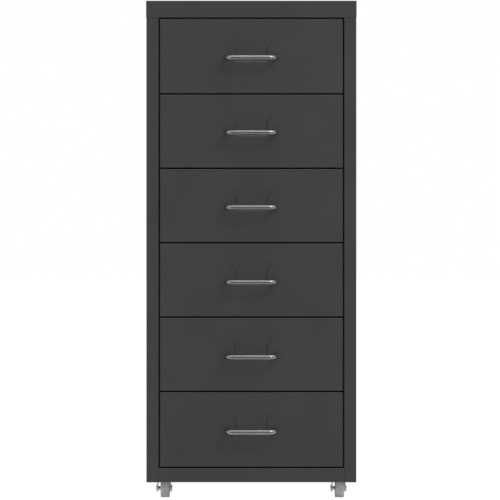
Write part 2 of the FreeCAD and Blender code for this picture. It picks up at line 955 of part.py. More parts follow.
def make_handle(count):
    """A bow handle of round rod, bent twice and leaning a little downwards."""
    level = f"{grid_line(count)} + handle_level"
    body = new_body(f"handle_{count}", "0", "face_at", level)
    half = "(handle_spacing / 2)"
    reach = "sqrt(bar_standoff * bar_standoff + handle_droop * handle_droop)"
    lean = "atan(handle_droop / bar_standoff)"
    path = plane_sketch(body, "rod_path", "XY_Plane", "0")
    path.AttachmentOffset = Placement(Vector(), Rotation(Vector(1, 0, 0), 1))
    path.setExpression("AttachmentOffset.Rotation.Angle", bound(lean))
    span = number(half)
    out = -number(reach)
    bend = number("rod_bend")
    start = number("overrun")
    corners = [
        Vector(-span, start, 0),
        Vector(-span, out + bend, 0),
        Vector(bend - span, out, 0),
        Vector(span - bend, out, 0),
        Vector(span, out + bend, 0),
        Vector(span, start, 0),
    ]
    path.addGeometry(Part.LineSegment(corners[0], corners[1]), False)
    left = Part.Circle(Vector(bend - span, out + bend, 0), Vector(0, 0, 1), bend)
    path.addGeometry(Part.ArcOfCircle(left, math.pi, 1.5 * math.pi), False)
    path.addGeometry(Part.LineSegment(corners[2], corners[3]), False)
    right = Part.Circle(Vector(span - bend, out + bend, 0), Vector(0, 0, 1), bend)
    path.addGeometry(Part.ArcOfCircle(right, 1.5 * math.pi, 2 * math.pi), False)
    path.addGeometry(Part.LineSegment(corners[4], corners[5]), False)
    for first, first_end, second, second_end in (
        (0, 2, 1, 1),
        (1, 2, 2, 1),
        (2, 2, 3, 1),
        (3, 2, 4, 1),
    ):
        path.addConstraint(
            Sketcher.Constraint("Tangent", first, first_end, second, second_end)
        )
    fix_point(path, 0, 1, f"-{half}", "overrun")
    fix_point(path, 4, 2, half, "overrun")
    fix_point(path, 1, 3, f"rod_bend - {half}", f"rod_bend - {reach}")
    index = path.addConstraint(Sketcher.Constraint("Radius", 1, bend))
    path.setExpression(f"Constraints[{index}]", bound("rod_bend"))
    index = path.addConstraint(Sketcher.Constraint("Radius", 3, bend))
    path.setExpression(f"Constraints[{index}]", bound("rod_bend"))
    ring = plane_sketch(body, "rod_ring", "XZ_Plane", "0")
    ring.AttachmentOffset = Placement(Vector(), Rotation(Vector(1, 0, 0), 1))
    ring.setExpression("AttachmentOffset.Rotation.Angle", bound(lean))
    ring.setExpression("AttachmentOffset.Base.y", bound(f"overrun * sin({lean})"))
    ring.setExpression("AttachmentOffset.Base.z", bound(f"-overrun * cos({lean})"))
    add_circle(ring, f"-{half}", "0", "rod_radius")
    doc.recompute()
    rod = body.newObject("PartDesign::AdditivePipe", "rod")
    rod.Profile = ring
    rod.Spine = (path, [])
    ring.Visibility = False
    path.Visibility = False
    doc.recompute()
    trim = rectangle(
        f"-({half} + 2 * rod_radius)", "-2 * rod_radius", f"{half} + 2 * rod_radius", "2 * rod_radius"
    )
    extrude(body, "seat_cut", "XZ_Plane", "0", "2 * overrun", [trim], cut=True)
    extrude(
        body,
        "screw_bores",
        "XZ_Plane",
        "-(screw_engagement + screw_bore_spare)",
        "screw_engagement + screw_bore_spare + overrun",
        circles=[
            (f"{side} * {half}", "0", "screw_radius + thread_clear") for side in (-1, 1)
        ],
        cut=True,
    )
    return body


def make_handle_screws(count):
    """The two screws of a handle, put in from inside the tray."""
    turn = Rotation(Vector(1, 0, 0), -90)
    level = f"{grid_line(count)} + handle_level"
    inner = "face_at + front_depth + tray_steel"
    members = []
    for side, word in ((-1, "left"), (1, "right")):
        name = f"handle_screw_{count}_{word}"
        across = f"{side} * handle_spacing / 2"
        shank = cylinder(
            f"{name}_shank",
            "screw_radius",
            "screw_engagement + front_depth + tray_steel + screw_head / 4",
            across,
            "face_at - screw_engagement",
            level,
            turn,
        )
        head = cylinder(
            f"{name}_head", "screw_head_radius", "screw_head", across, inner, level, turn
        )
        socket = cylinder(
            f"{name}_socket",
            "screw_socket_radius",
            "screw_socket + overrun",
            across,
            f"{inner} + screw_head - screw_socket",
            level,
            turn,
        )
        blank = joined(f"{name}_blank", shank, head)
        members.append(joined(name, blank, socket, "Part::Cut"))
    return group(f"handle_screws_{count}", members)


# Castors


def make_castor_plate(name, across, depth):
    """The fixed plate of a castor, screwed under the bottom panel, with a race round the balls."""
    body = new_body(f"castor_plate_{name}", across, depth)
    half = "plate_size / 2"
    outline = rectangle(f"-{half}", f"-{half}", half, half)
    extrude(body, "plate", "XY_Plane", "plate_under", "plate_steel", [outline])
    corners = [(x, y) for x in (f"-{half}", half) for y in (f"-{half}", half)]
    round_edges(body, "corner_rounds", "plate_corner", upright_at(corners))
    race = "(ball_circle + ball_radius + race_play)"
    extrude(
        body,
        "race",
        "XY_Plane",
        "crown_top + race_clear",
        "plate_under + plate_steel / 2 - crown_top - race_clear",
        circles=[("0", "0", race), ("0", "0", f"{race} + race_steel")],
    )
    circles = [("0", "0", "king_radius")]
    for shift_across, shift_depth in plate_holes():
        circles.append((shift_across, shift_depth, "castor_screw_radius + screw_hole_clear"))
    extrude(
        body,
        "holes",
        "XY_Plane",
        "plate_under - overrun",
        "plate_steel + 2 * overrun",
        circles=circles,
        cut=True,
    )
    return body


def make_castor_fork(name, across, depth):
    """The fork that swivels under the plate, pressed from one strip."""
    body = new_body(f"castor_fork_{name}", across, depth)
    side_view = [
        ("-fork_nose", "crown_top"),
        ("-fork_nose", "crown_under"),
        ("trail - leg_end_radius", "wheel_radius"),
        ("trail + leg_end_radius", "wheel_radius"),
        ("trail + fork_heel", "crown_top"),
    ]
    extrude(body, "strip", "YZ_Plane", "-fork_half", "2 * fork_half", [side_view])
    extrude(
        body,
        "leg_ends",
        "YZ_Plane",
        "-fork_half",
        "2 * fork_half",
        circles=[("trail", "wheel_radius", "leg_end_radius")],
    )
    bends = [("-fork_half", "crown_top"), ("fork_half", "crown_top")]
    round_edges(body, "crown_bends", "fork_bend", straight_along("y", bends))
    slot = rectangle("-fork_inside / 2", "-overrun", "fork_inside / 2", "crown_under")
    extrude(
        body,
        "wheel_slot",
        "XZ_Plane",
        "-(fork_nose + overrun)",
        "fork_nose + trail + leg_end_radius + 2 * overrun",
        [slot],
        cut=True,
    )
    extrude(
        body,
        "king_hole",
        "XY_Plane",
        "crown_under - overrun",
        "fork_steel + 2 * overrun",
        circles=[("0", "0", "king_radius + king_play")],
        cut=True,
    )
    extrude(
        body,
        "axle_holes",
        "YZ_Plane",
        "-(fork_half + overrun)",
        "2 * fork_half + 2 * overrun",
        circles=[("trail", "wheel_radius", "axle_radius")],
        cut=True,
    )
    return body


def make_castor_wheel(name, across, depth):
    """A solid plastic wheel, loose on its axle, pressed a little flat where it stands."""
    body = new_body(
        f"castor_wheel_{name}", f"{across} + wheel_shift", f"{depth} + trail", "wheel_radius"
    )
    side = "(wheel_width / 2)"
    tread = f"({side} - tread_chamfer)"
    web = f"({side} - rim_depth)"
    outer = "(wheel_radius + tread_flat)"
    inner_rim = "(wheel_radius - rim_width)"
    outline = [
        (f"-{side}", "bore_radius"),
        (f"-{side}", "hub_radius"),
        (f"-{web}", "hub_radius"),
        (f"-{web}", inner_rim),
        (f"-{side}", inner_rim),
        (f"-{side}", f"{outer} - tread_chamfer"),
        (f"-{tread}", outer),
        (tread, outer),
        (side, f"{outer} - tread_chamfer"),
        (side, inner_rim),
        (web, inner_rim),
        (web, "hub_radius"),
        (side, "hub_radius"),
        (side, "bore_radius"),
    ]
    revolve(body, "wheel", outline)
    below = rectangle(f"-{side} - overrun", f"-{outer}", f"{side} + overrun", outer)
    extrude(
        body,
        "standing_flat",
        "XY_Plane",
        "-wheel_radius - overrun",
        "overrun",
        [below],
        cut=True,
    )
    return body


def make_castor_axle(name, across, depth):
    """The riveted axle of a castor wheel, with a head outside each leg."""
    body = new_body(f"castor_axle_{name}", across, f"{depth} + trail", "wheel_radius")
    end = "(fork_half + axle_head)"
    rim = "(axle_head_radius - axle_head_chamfer)"
    outline = [
        (f"-{end}", "0"),
        (f"-{end}", rim),
        (f"axle_head_chamfer - {end}", "axle_head_radius"),
        ("-fork_half", "axle_head_radius"),
        ("-fork_half", "axle_radius"),
        ("fork_half", "axle_radius"),
        ("fork_half", "axle_head_radius"),
        (f"{end} - axle_head_chamfer", "axle_head_radius"),
        (end, rim),
        (end, "0"),
    ]
    revolve(body, "axle", outline)
    return body


def make_castor_fixings():
    """The king pins, balls, screws and nuts of all the castors."""
    pins = []
    balls = []
    screws = []
    nuts = []
    for name, side, end in castor_places():
        across, depth = castor_centre(side, end)
        low = "crown_under - king_head_clear - king_head"
        shank = cylinder(
            f"king_shank_{name}",
            "king_radius",
            "castor_height + king_top_head / 2 - crown_under + king_head_clear + king_head",
            across,
            depth,
            low,
        )
        foot = cylinder(f"king_foot_{name}", "king_head_radius", "king_head", across, depth, low)
        head = cylinder(
            f"king_head_{name}",
            "king_top_head_radius",
            "king_top_head",
            across,
            depth,
            "castor_height",
        )
        pins.append(joined(f"king_pin_{name}", joined(f"king_low_{name}", shank, foot), head))
        for index in range(BALL_COUNT):
            angle = 2 * math.pi * index / BALL_COUNT
            ball = doc.addObject("Part::Sphere", f"ball_{name}_{index + 1}")
            ball.setExpression("Radius", bound("ball_radius"))
            balls.append(
                placed(
                    ball,
                    f"{across} + {math.cos(angle):.6f} * ball_circle",
                    f"{depth} + {math.sin(angle):.6f} * ball_circle",
                    "crown_top + ball_play + ball_radius",
                )
            )
        for index, (shift_across, shift_depth) in enumerate(plate_holes()):
            place = (f"{across} + {shift_across}", f"{depth} + {shift_depth}")
            tag = f"{name}_{index + 1}"
            stem = cylinder(
                f"castor_screw_stem_{tag}",
                "castor_screw_radius",
                "castor_screw_head / 2 + plate_steel + pan_steel + nut_height + screw_end_spare",
                *place,
                "plate_under - castor_screw_head / 2",
            )
            cap = cylinder(
                f"castor_screw_cap_{tag}",
                "castor_screw_head_radius",
                "castor_screw_head",
                *place,
                "plate_under - castor_screw_head",
            )
            screws.append(joined(f"castor_screw_{tag}", stem, cap))
            blank = doc.addObject("Part::Prism", f"castor_nut_blank_{tag}")
            blank.Polygon = 6
            blank.setExpression("Circumradius", bound("nut_corner_radius"))
            blank.setExpression("Height", bound("nut_height"))
            placed(blank, *place, "castor_height + pan_steel")
            thread = cylinder(
                f"castor_nut_thread_{tag}",
                "castor_screw_radius + thread_clear",
                "nut_height + 2 * overrun",
                *place,
                "castor_height + pan_steel - overrun",
            )
            nuts.append(joined(f"castor_nut_{tag}", blank, thread, "Part::Cut"))
    group("castor_king_pins", pins)
    group("castor_balls", balls)
    group("castor_screws", screws)
    group("castor_nuts", nuts)


def check_and_write():
    """Check every object of the document, then write one file for each sub-part."""
    doc.recompute()
    for thing in doc.Objects:
        if "Invalid" in thing.State or "Error" in thing.State:
            raise RuntimeError(f"{thing.Label} failed: {thing.State}")
    for thing in finished:
        if thing.Shape.isNull() or not thing.Shape.isValid() or not thing.Shape.Solids:
            raise RuntimeError(f"{thing.Label} has no valid solid")
    os.makedirs("parts", exist_ok=True)
    for thing in finished:
        thing.Shape.exportStep(os.path.join("parts", f"{thing.Label}.step"))
        size = thing.Shape.BoundBox
        print(
            f"{thing.Label}: {len(thing.Shape.Solids)} solid(s), "
            f"{size.XLength:.1f} x {size.YLength:.1f} x {size.ZLength:.1f} mm"
        )


def main():
    """Build the cabinet from its casing to its castors."""
    fill_sheet()
    make_top_cover()
    make_side_panel("left_side_panel", -1)
    make_side_panel("right_side_panel", 1)
    make_back_panel()
    make_back_rivets()
    make_bottom_rail()
    make_bottom_panel()
    make_runner_frame("left_runner_frame", -1)
    make_runner_frame("right_runner_frame", 1)
    for count in range(1, DRAWER_COUNT + 1):
        make_drawer_front(count)
        make_drawer_tray(count)
        make_handle(count)
        make_handle_screws(count)
    for name, side, end in castor_places():
        across, depth = castor_centre(side, end)
        make_castor_plate(name, across, depth)
        make_castor_fork(name, across, depth)
        make_castor_wheel(name, across, depth)
        make_castor_axle(name, across, depth)
    make_castor_fixings()
    check_and_write()


main()
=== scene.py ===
"""Looks of a small steel drawer cabinet on castors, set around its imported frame.

Everything is in metres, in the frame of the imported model: X across the front, Y from the
front to the back, Z up from the floor.
"""

import json
import logging
import math
from collections.abc import Callable
from dataclasses import dataclass, field
from enum import Enum

import bmesh
import bpy
from mathutils import Matrix, Vector


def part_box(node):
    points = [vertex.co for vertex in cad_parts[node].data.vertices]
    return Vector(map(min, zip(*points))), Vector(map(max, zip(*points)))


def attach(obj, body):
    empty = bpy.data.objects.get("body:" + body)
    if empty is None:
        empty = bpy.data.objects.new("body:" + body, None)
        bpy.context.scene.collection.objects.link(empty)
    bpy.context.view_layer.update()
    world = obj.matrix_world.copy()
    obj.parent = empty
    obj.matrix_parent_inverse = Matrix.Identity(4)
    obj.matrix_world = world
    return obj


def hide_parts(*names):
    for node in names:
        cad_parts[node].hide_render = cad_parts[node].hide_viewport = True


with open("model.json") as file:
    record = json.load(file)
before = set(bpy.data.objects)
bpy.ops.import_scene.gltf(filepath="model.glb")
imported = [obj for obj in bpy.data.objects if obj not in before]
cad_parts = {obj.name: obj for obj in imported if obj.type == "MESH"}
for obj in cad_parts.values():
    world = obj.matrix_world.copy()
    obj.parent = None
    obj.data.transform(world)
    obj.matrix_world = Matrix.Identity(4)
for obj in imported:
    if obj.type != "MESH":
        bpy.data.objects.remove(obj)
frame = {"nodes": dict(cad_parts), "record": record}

LOG = logging.getLogger("cabinet")
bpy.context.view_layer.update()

MM = 0.001
# Places closer than this are one place.
NEAR = 0.01 * MM
# The least cosine between a flat end's normal and the axis.
SQUARE = 0.99
# The profile of a bevel that is a quarter of a circle.
ROUND_PROFILE = 0.5
# How many finer layers a noise pattern has.
FEW_LAYERS, SOME_LAYERS, MANY_LAYERS = 2, 3, 4
# The sockets of the mix node that work on colours.
MIX_SHARE, MIX_FIRST, MIX_SECOND, MIX_RESULT = 0, 6, 7, 2
WHITE = (1.0, 1.0, 1.0)

Colour = tuple[float, float, float]
Place = tuple[float, float, float]
Box = tuple[Vector, Vector]


class Slot(Enum):
    """The record's material slots, by what they cover."""

    PAINT = "dark_paint"
    ROD = "bright_rod"
    PLATE = "zinc_plate"
    FIXINGS = "zinc_fixings"
    WHEEL = "wheel_plastic"


class Along(Enum):
    """The direction that a turned piece lies in."""

    ACROSS = 0
    DEEP = 1
    UP = 2


class Facing(Enum):
    """Which way a flat end looks."""

    UP = 1
    DOWN = -1


# Finishes


class ShaderSheet:
    """A new material and the calls that fill its node tree."""

    EDGE_SAMPLES: int = 6
    FLAT_COSINE: float = 0.995
    EDGE_COSINE: float = 0.93

    def __init__(self, name: str) -> None:
        """Start the material.

        Args:
            name: The material's name.
        """
        self.material = bpy.data.materials.new(name)
        self.material.use_nodes = True
        self.tree = self.material.node_tree
        self.tree.nodes.clear()
        self.output = self.add("ShaderNodeOutputMaterial")
        self.place = self.add("ShaderNodeTexCoord").outputs["Object"]

    def add(self, kind: str, **inputs: object) -> bpy.types.Node:
        """Add a node and fill its sockets.

        Args:
            kind: The node's type name.
            inputs: A value or an output for each socket, by its name with _ for a space.

        Returns:
            The new node.
        """
        node = self.tree.nodes.new(kind)
        for name, value in inputs.items():
            self.feed(node, name.replace("_", " "), value)
        return node

    def feed(self, node: bpy.types.Node, name: str, value: object) -> None:
        """Link an output to a socket, or set the socket to a value.

        Args:
            node: The node that has the socket.
            name: The socket's name.
            value: An output socket, a number or a colour.
        """
        if isinstance(value, bpy.types.NodeSocket):
            self.tree.links.new(value, node.inputs[name])
        elif isinstance(value, tuple) and len(value) == 3 and node.inputs[name].type == "RGBA":
            node.inputs[name].default_value = (*value, 1.0)
        else:
            node.inputs[name].default_value = value

    def noise(
        self, grain: float, layers: int = SOME_LAYERS, stretch: Place = (1, 1, 1)
    ) -> bpy.types.NodeSocket:
        """Make a noise pattern on the object's own coordinates.

        Args:
            grain: The size of the pattern's features, in metres.
            layers: How many finer layers it has.
            stretch: How much finer the pattern is along each axis.

        Returns:
            The pattern, from 0 to 1.
        """
        mapping = self.add("ShaderNodeMapping", Vector=self.place, Scale=stretch)
        node = self.add(
            "ShaderNodeTexNoise",
            Scale=1.0 / grain,
            Detail=layers,
            Vector=mapping.outputs[0],
        )
        return node.outputs["Fac"]

    def spread(
        self,
        value: bpy.types.NodeSocket,
        low: float,
        high: float,
        start: float = 0.3,
        end: float = 0.7,
    ) -> bpy.types.NodeSocket:
        """Spread a pattern over a range.

        Args:
            value: The pattern.
            low: What its low places become.
            high: What its high places become.
            start: The pattern's value at its low places.
            end: The pattern's value at its high places.

        Returns:
            The pattern on its new range.
        """
        node = self.add(
            "ShaderNodeMapRange",
            Value=value,
            From_Min=start,
            From_Max=end,
            To_Min=low,
            To_Max=high,
        )
        return node.outputs[0]

    def blend(
        self, share: bpy.types.NodeSocket, first: object, second: Colour
    ) -> bpy.types.NodeSocket:
        """Mix two colours by a pattern.

        Args:
            share: How much of the second colour there is, from 0 to 1.
            first: The colour, or the mixed colour, where the share is 0.
            second: The colour where the share is 1.

        Returns:
            The mixed colour.
        """
        node = self.tree.nodes.new("ShaderNodeMix")
        node.data_type = "RGBA"
        self.tree.links.new(share, node.inputs[MIX_SHARE])
        if isinstance(first, bpy.types.NodeSocket):
            self.tree.links.new(first, node.inputs[MIX_FIRST])
        else:
            node.inputs[MIX_FIRST].default_value = (*first, 1.0)
        node.inputs[MIX_SECOND].default_value = (*second, 1.0)
        return node.outputs[MIX_RESULT]

    def times(
        self, first: bpy.types.NodeSocket, second: bpy.types.NodeSocket
    ) -> bpy.types.NodeSocket:
        """Multiply two patterns.

        Args:
            first: One pattern.
            second: The other pattern.

        Returns:
            Their product.
        """
        node = self.tree.nodes.new("ShaderNodeMath")
        node.operation = "MULTIPLY"
        self.tree.links.new(first, node.inputs[0])
        self.tree.links.new(second, node.inputs[1])
        return node.outputs[0]

    def soft_edges(self, radius: float) -> bpy.types.NodeSocket:
        """Round the edges' look.

        Args:
            radius: The rounding's radius.

        Returns:
            The normals of the rounded surface.
        """
        node = self.add("ShaderNodeBevel", Radius=radius)
        node.samples = self.EDGE_SAMPLES
        return node.outputs[0]

    def edge_share(self, rounded: bpy.types.NodeSocket) -> bpy.types.NodeSocket:
        """Find the edges.

        Args:
            rounded: The normals of the rounded surface.

        Returns:
            1 on the edges and 0 on the flats.
        """
        flat = self.add("ShaderNodeNewGeometry").outputs["True Normal"]
        turn = self.tree.nodes.new("ShaderNodeVectorMath")
        turn.operation = "DOT_PRODUCT"
        self.tree.links.new(rounded, turn.inputs[0])
        self.tree.links.new(flat, turn.inputs[1])
        cosine = turn.outputs["Value"]
        return self.spread(cosine, 0.0, 1.0, self.FLAT_COSINE, self.EDGE_COSINE)

    def bump(
        self,
        height: bpy.types.NodeSocket,
        depth: float,
        strength: float,
        below: bpy.types.NodeSocket | None = None,
    ) -> bpy.types.NodeSocket:
        """Turn a pattern into relief.

        Args:
            height: The pattern.
            depth: How deep the relief is, in metres.
            strength: How much of it shows.
            below: A relief that this one lies on.

        Returns:
            The relief's normals.
        """
        node = self.add("ShaderNodeBump", Strength=strength, Distance=depth, Height=height)
        if below is not None:
            self.tree.links.new(below, node.inputs["Normal"])
        return node.outputs[0]

    def close(self, **inputs: object) -> bpy.types.Material:
        """End the tree in a Principled shader.

        Args:
            inputs: What its sockets get, as for add.

        Returns:
            The finished material.
        """
        shader = self.add("ShaderNodeBsdfPrincipled", **inputs)
        self.tree.links.new(shader.outputs[0], self.output.inputs["Surface"])
        return self.material


@dataclass(frozen=True)
class PowderCoat:
    """Dark powder coat: a fine, slightly rippled skin over folded steel, with paler edges that
    are partly wear and partly a painted highlight.
    """

    name: str
    pale: Colour = (0.065, 0.065, 0.065)
    deep: Colour = (0.058, 0.058, 0.058)
    # The paler colour on the edges: partly wear, partly a painted highlight where the rounded
    # edges would catch the light.
    edge_wear_and_highlight: Colour = (0.11, 0.11, 0.109)
    cloud: float = 60 * MM
    edge: float = 0.35 * MM
    patch: float = 4 * MM
    patch_start: float = 0.45
    patch_end: float = 0.65
    # How far the edges go towards that paler colour: part wear, part painted highlight.
    most_edge_wear_and_highlight: float = 0.8
    ripple: float = 0.9 * MM
    ripple_depth: float = 0.01 * MM
    ripple_strength: float = 1.0
    grit: float = 0.28 * MM
    grit_depth: float = 0.008 * MM
    grit_strength: float = 0.8
    gloss_low: float = 0.34
    gloss_high: float = 0.46

    def material(self) -> bpy.types.Material:
        """Build the finish.

        Returns:
            The material.
        """
        sheet = ShaderSheet(self.name)
        rounded = sheet.soft_edges(self.edge)
        cloud = sheet.spread(sheet.noise(self.cloud, MANY_LAYERS), 0.0, 1.0)
        patches = sheet.noise(self.patch, MANY_LAYERS)
        patch = sheet.spread(patches, 0.0, self.most_edge_wear_and_highlight, self.patch_start, self.patch_end)
        # Paler patches along the edges, part wear and part painted highlight.
        worn_and_lit_edges = sheet.times(sheet.edge_share(rounded), patch)
        grit = sheet.noise(self.grit, FEW_LAYERS)
        waves = sheet.noise(self.ripple, FEW_LAYERS)
        ripple = sheet.bump(waves, self.ripple_depth, self.ripple_strength, rounded)
        return sheet.close(
            Base_Color=sheet.blend(worn_and_lit_edges, sheet.blend(cloud, self.deep, self.pale), self.edge_wear_and_highlight),
            Roughness=sheet.spread(grit, self.gloss_low, self.gloss_high),
            Normal=sheet.bump(grit, self.grit_depth, self.grit_strength, ripple),
        )


@dataclass(frozen=True)
class BrightPlate:
    """Satin nickel plate on drawn rod, with faint lines along the rod."""

    name: str
    pale: Colour = (0.48, 0.48, 0.47)
    deep: Colour = (0.42, 0.42, 0.42)
    cloud: float = 5 * MM
    line: float = 0.35 * MM
    line_stretch: Place = (0.04, 1, 1)
    line_depth: float = 0.003 * MM
    line_strength: float = 0.5
    gloss_low: float = 0.22
    gloss_high: float = 0.28

    def material(self) -> bpy.types.Material:
        """Build the finish.

        Returns:
            The material.
        """
        sheet = ShaderSheet(self.name)
        cloud = sheet.spread(sheet.noise(self.cloud, SOME_LAYERS), 0.0, 1.0)
        lines = sheet.noise(self.line, FEW_LAYERS, self.line_stretch)
        return sheet.close(
            Base_Color=sheet.blend(cloud, self.deep, self.pale),
            Metallic=1.0,
            Roughness=sheet.spread(lines, self.gloss_low, self.gloss_high),
            Normal=sheet.bump(lines, self.line_depth, self.line_strength),
        )


@dataclass(frozen=True)
class ZincPlate:
    """Bright zinc plate on pressed steel, mottled and softly brushed."""

    name: str
    pale: Colour = (0.42, 0.43, 0.44)
    deep: Colour = (0.29, 0.30, 0.31)
    mottle: float = 1.6 * MM
    edge: float = 0.3 * MM
    grain: float = 0.2 * MM
    grain_depth: float = 0.006 * MM
    grain_strength: float = 0.6
    gloss_low: float = 0.26
    gloss_high: float = 0.42

    def material(self) -> bpy.types.Material:
        """Build the finish.

        Returns:
            The material.
        """
        sheet = ShaderSheet(self.name)
        rounded = sheet.soft_edges(self.edge)
        mottle = sheet.spread(sheet.noise(self.mottle, MANY_LAYERS), 0.0, 1.0)
        grain = sheet.noise(self.grain, SOME_LAYERS)
        return sheet.close(
            Base_Color=sheet.blend(mottle, self.deep, self.pale),
            Metallic=1.0,
            Roughness=sheet.spread(mottle, self.gloss_low, self.gloss_high),
            Normal=sheet.bump(grain, self.grain_depth, self.grain_strength, rounded),
        )


@dataclass(frozen=True)
class MouldedPlastic:
    """Pale nylon: a satin skin with flow marks from the mould."""

    name: str
    pale: Colour = (0.90, 0.90, 0.89)
    deep: Colour = (0.84, 0.84, 0.83)
    flow: float = 2.5 * MM
    edge: float = 0.25 * MM
    grain: float = 0.15 * MM
    grain_depth: float = 0.01 * MM
    grain_strength: float = 0.7
    gloss_low: float = 0.42
    gloss_high: float = 0.56

    def material(self) -> bpy.types.Material:
        """Build the finish.

        Returns:
            The material.
        """
        sheet = ShaderSheet(self.name)
        rounded = sheet.soft_edges(self.edge)
        flow = sheet.spread(sheet.noise(self.flow, MANY_LAYERS), 0.0, 1.0)
        grain = sheet.noise(self.grain, FEW_LAYERS)
        return sheet.close(
            Base_Color=sheet.blend(flow, self.deep, self.pale),
            Roughness=sheet.spread(flow, self.gloss_low, self.gloss_high),
            Normal=sheet.bump(grain, self.grain_depth, self.grain_strength, rounded),
        )


def dress(thing: bpy.types.Object, material: bpy.types.Material) -> None:
    """Give a piece one finish all over.

    Args:
        thing: The piece or CAD node.
        material: Its finish.
    """
    thing.data.materials.clear()
    thing.data.materials.append(material)


@dataclass
class Wardrobe:
    """Every finish, made once, and the record's slot that each stands for."""

    fixings_grain: float = 0.12 * MM
    fixings_edge: float = 0.15 * MM
    finishes: dict[Slot, bpy.types.Material] = field(default_factory=dict)

    def fill(self) -> None:
        """Make the finishes."""
        fixings = ZincPlate("zinc_fixing", grain=self.fixings_grain, edge=self.fixings_edge)
        self.finishes = {
            Slot.PAINT: PowderCoat("powder_coat").material(),
            Slot.ROD: BrightPlate("nickel_rod").material(),
            Slot.PLATE: ZincPlate("zinc_pressing").material(),
            Slot.FIXINGS: fixings.material(),
            Slot.WHEEL: MouldedPlastic("grey_nylon").material(),
        }

    def dress_nodes(self) -> None:
        """Dress each CAD node in the finish of its slot."""
        slots = {part["node"]: part["material_slot"] for part in frame["record"]["subparts"]}
        for name, node in frame["nodes"].items():
            dress(node, self.finishes[Slot(slots[name])])
            LOG.info("dressed %s in %s", name, slots[name])

    def fit(self, piece: bpy.types.Object, node: str, body: str, slot: Slot) -> None:
        """Dress a new piece, let it ride on a body and let it stand for a CAD node.

        Args:
            piece: The piece.
            node: The CAD node that it stands for.
            body: The body that it rides on.
            slot: The record's slot of its finish.
        """
        dress(piece, self.finishes[slot])
        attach(piece, body)
        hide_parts(node)
        LOG.info("built %s for %s", piece.name, node)


# Modelling


def only(piece: bpy.types.Object) -> None:
    """Select one piece and make it the active one.

    Args:
        piece: The piece.
    """
    bpy.ops.object.select_all(action="DESELECT")
    piece.select_set(True)
    bpy.context.view_layer.objects.active = piece


def choose(piece: bpy.types.Object, kind: str, test: Callable) -> None:
    """Select some faces, edges or corners of the piece that is being edited.

    Args:
        piece: The piece.
        kind: FACE, EDGE or VERT.
        test: Says of each one whether it is wanted.
    """
    bpy.ops.mesh.select_mode(type=kind)
    bpy.ops.mesh.select_all(action="DESELECT")
    sheet = bmesh.from_edit_mesh(piece.data)
    for item in {"FACE": sheet.faces, "EDGE": sheet.edges, "VERT": sheet.verts}[kind]:
        if test(item):
            item.select_set(True)
    sheet.select_flush_mode()
    bmesh.update_edit_mesh(piece.data)


def round_blank(name: str, radius: float, height: float, sides: int) -> bpy.types.Object:
    """Add a round blank that stands on the origin, and open it for editing.

    Args:
        name: The blank's name.
        radius: Its radius.
        height: Its height.
        sides: How many sides it has.

    Returns:
        The blank.
    """
    bpy.ops.object.select_all(action="DESELECT")
    bpy.ops.mesh.primitive_cylinder_add(
        vertices=sides, radius=radius, depth=height, location=(0, 0, height / 2)
    )
    return open_blank(name)


def open_blank(name: str) -> bpy.types.Object:
    """Name the primitive that was just added, set its origin and open it for editing.

    Args:
        name: The piece's name.

    Returns:
        The piece.
    """
    bpy.ops.object.transform_apply(location=True, rotation=True, scale=True)
    piece = bpy.context.object
    piece.name = name
    piece.data.name = name
    bpy.ops.object.mode_set(mode="EDIT")
    return piece


def close_blank(piece: bpy.types.Object, smooth_below: float = 40.0) -> None:
    """End the editing: merge doubles, turn the faces outward and smooth the shallow edges.

    Args:
        piece: The piece.
        smooth_below: The sharpest angle that is smoothed, in degrees.
    """
    only(piece)
    bpy.ops.object.mode_set(mode="EDIT")
    bpy.ops.mesh.select_all(action="SELECT")
    bpy.ops.mesh.remove_doubles(threshold=0.1 * NEAR)
    bpy.ops.mesh.normals_make_consistent(inside=False)
    bpy.ops.object.mode_set(mode="OBJECT")
    bpy.ops.object.shade_smooth_by_angle(angle=math.radians(smooth_below))


def carve(
    piece: bpy.types.Object, tool: bpy.types.Object, operation: str = "DIFFERENCE"
) -> None:
    """Cut a piece with a tool and throw the tool away.

    Args:
        piece: The piece.
        tool: The solid that cuts it.
        operation: DIFFERENCE or INTERSECT.
    """
    only(piece)
    cut = piece.modifiers.new("cut", "BOOLEAN")
    cut.operation = operation
    cut.object = tool
    bpy.ops.object.modifier_apply(modifier=cut.name)
    bpy.data.objects.remove(tool)


def is_end(height: float, facing: Facing) -> Callable:
    """Make a test for the flat faces at a height.

    Args:
        height: Their height.
        facing: Which way they look.

    Returns:
        The test.
    """
    return lambda face: (
        abs(face.calc_center_median().z - height) < NEAR
        and face.normal.z * facing.value > SQUARE
    )


def is_rim(height: float, radius: float) -> Callable:
    """Make a test for the round edge at a height.

    Args:
        height: The edge's height.
        radius: How far it is from the axis.

    Returns:
        The test.
    """
    return lambda edge: all(
        abs(corner.co.z - height) < NEAR and abs(corner.co.to_2d().length - radius) < NEAR
        for corner in edge.verts
    )


def solid_boxes(name: str) -> list[Box]:
    """Find the box of each separate solid in a CAD node.

    Args:
        name: The node's name.

    Returns:
        Each solid's lowest and highest corners.
    """
    mesh = frame["nodes"][name].data
    places = [tuple(round(value / NEAR) for value in corner.co) for corner in mesh.vertices]
    parent = {place: place for place in places}

    def root(place: tuple[int, ...]) -> tuple[int, ...]:
        """Follow a place to the one that stands for its solid.

        Args:
            place: A corner's place, in steps of NEAR.

        Returns:
            The place that stands for the solid.
        """
        while parent[place] != place:
            parent[place] = parent[parent[place]]
            place = parent[place]
        return place

    for face in mesh.polygons:
        for index in face.vertices[1:]:
            parent[root(places[index])] = root(places[face.vertices[0]])
    solids: dict[tuple[int, ...], list[Vector]] = {}
    for place, corner in zip(places, mesh.vertices):
        solids.setdefault(root(place), []).append(corner.co)
    boxes = []
    for corners in solids.values():
        low = Vector([min(corner[axis] for corner in corners) for axis in range(3)])
        high = Vector([max(corner[axis] for corner in corners) for axis in range(3)])
        boxes.append((low, high))
    return boxes


